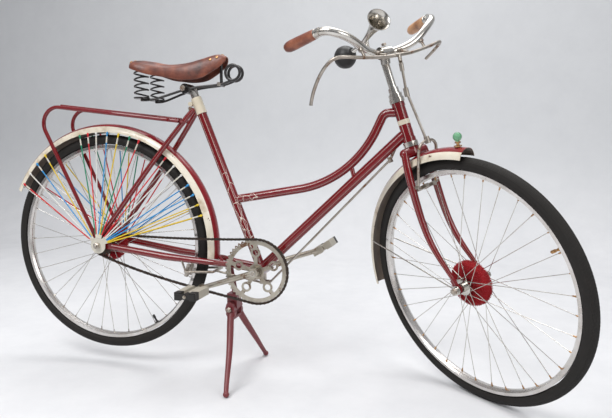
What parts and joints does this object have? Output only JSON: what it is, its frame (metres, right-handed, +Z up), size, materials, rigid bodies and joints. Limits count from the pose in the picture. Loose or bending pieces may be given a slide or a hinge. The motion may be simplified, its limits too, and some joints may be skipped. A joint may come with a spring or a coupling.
{
  "type": "lady's roadster bicycle",
  "caption": "Step-through roadster bicycle on its stand, with a sprung leather saddle, rod brakes, a rear rack, skirt guard cords and a bulb horn.",
  "frame": {"origin": "centre of the bicycle's ground footprint, on the ground", "axes": "+X forward, +Y to the rider's left, +Z up"},
  "size_m": [1.7541, 0.5258, 1.0944],
  "materials": {
    "enamel_red": "gloss",
    "enamel_cream": "gloss",
    "chrome": "gloss",
    "enamel_black": "satin",
    "rim_steel": "gloss",
    "hub_steel": "gloss",
    "tyre": "matte",
    "plush_red": "matte",
    "saddle_leather": "satin",
    "cord": "satin",
    "chain_steel": "satin",
    "stand_red": "satin",
    "grip_leather": "satin",
    "bulb_rubber": "satin",
    "brass": "gloss",
    "green_glass": "gloss",
    "pedal_cream": "satin"
  },
  "bodies": {
    "frame": {"head_tube": "enamel_red", "headset_cups": "chrome", "top_tube": "enamel_red", "down_tube": "enamel_red", "seat_tube": "enamel_red", "bottom_bracket_shell": "enamel_red", "chain_stays": "enamel_red", "seat_stays": "enamel_red", "seat_post": "chrome", "saddle_leather": "saddle_leather", "saddle_chassis": "enamel_black", "saddle_springs": "enamel_black", "rear_mudguard": "enamel_cream", "rear_mudguard_stays": "enamel_cream", "rear_rack": "enamel_red", "skirt_guard_right": "cord", "skirt_guard_left": "cord", "rear_axle": "chrome", "chain": "chain_steel", "stand_bracket": "stand_red", "rear_brake_rod": "chrome", "rear_brake_stirrup": "chrome"},
    "steering": {"fork": "enamel_red", "headset_locknut": "chrome", "stem": "chrome", "handlebar": "chrome", "grip_right": "grip_leather", "grip_left": "grip_leather", "brake_levers": "chrome", "horn_trumpet": "chrome", "horn_bulb": "bulb_rubber", "front_brake_rod": "chrome", "front_brake_stirrup": "chrome", "front_mudguard": "enamel_cream", "front_mudguard_stays": "enamel_cream", "ornament_stem": "brass", "ornament_ball": "green_glass", "front_axle": "chrome"},
    "front_wheel": {"front_tyre": "tyre", "front_rim": "rim_steel", "front_hub": "hub_steel", "front_hub_duster": "plush_red"},
    "rear_wheel": {"rear_tyre": "tyre", "rear_rim": "rim_steel", "rear_hub": "hub_steel", "rear_hub_duster": "plush_red", "sprocket": "chain_steel"},
    "crankset": {"crank_spindle": "chrome", "chainring": "chrome", "crank_right": "chrome", "crank_left": "chrome"},
    "pedal_right": {"pedal_right": "pedal_cream"},
    "pedal_left": {"pedal_left": "pedal_cream"},
    "stand": {"stand_legs": "stand_red"}
  },
  "joints": [
    {"name": "steer", "type": "hinge", "parent": "frame", "child": "steering", "pos_m": [0.41535, 0.01289, 0.76332], "axis": [-0.3156, 0, 0.9489], "range_deg": [-33.5, 116.5]},
    {"name": "front_wheel_spin", "type": "hinge", "parent": "steering", "child": "front_wheel", "pos_m": [0.60234, -0.02607, 0.34074], "axis": [0.6287, 0.749, 0.2092], "continuous": true},
    {"name": "rear_wheel_spin", "type": "hinge", "parent": "frame", "child": "rear_wheel", "pos_m": [-0.52906, 0.01289, 0.4005], "axis": [0, 1, 0], "continuous": true},
    {"name": "crank_spin", "type": "hinge", "parent": "frame", "child": "crankset", "pos_m": [-0.01056, 0.01289, 0.3396], "axis": [0, 1, 0], "continuous": true},
    {"name": "pedal_right_spin", "type": "hinge", "parent": "crankset", "child": "pedal_right", "pos_m": [-0.17699, -0.12211, 0.28552], "axis": [0, 1, 0], "continuous": true},
    {"name": "pedal_left_spin", "type": "hinge", "parent": "crankset", "child": "pedal_left", "pos_m": [0.15588, 0.14789, 0.39368], "axis": [0, 1, 0], "continuous": true},
    {"name": "stand_fold", "type": "hinge", "parent": "frame", "child": "stand", "pos_m": [-0.10206, 0.01289, 0.215], "axis": [0, 1, 0], "range_deg": [0, 85]}
  ]
}
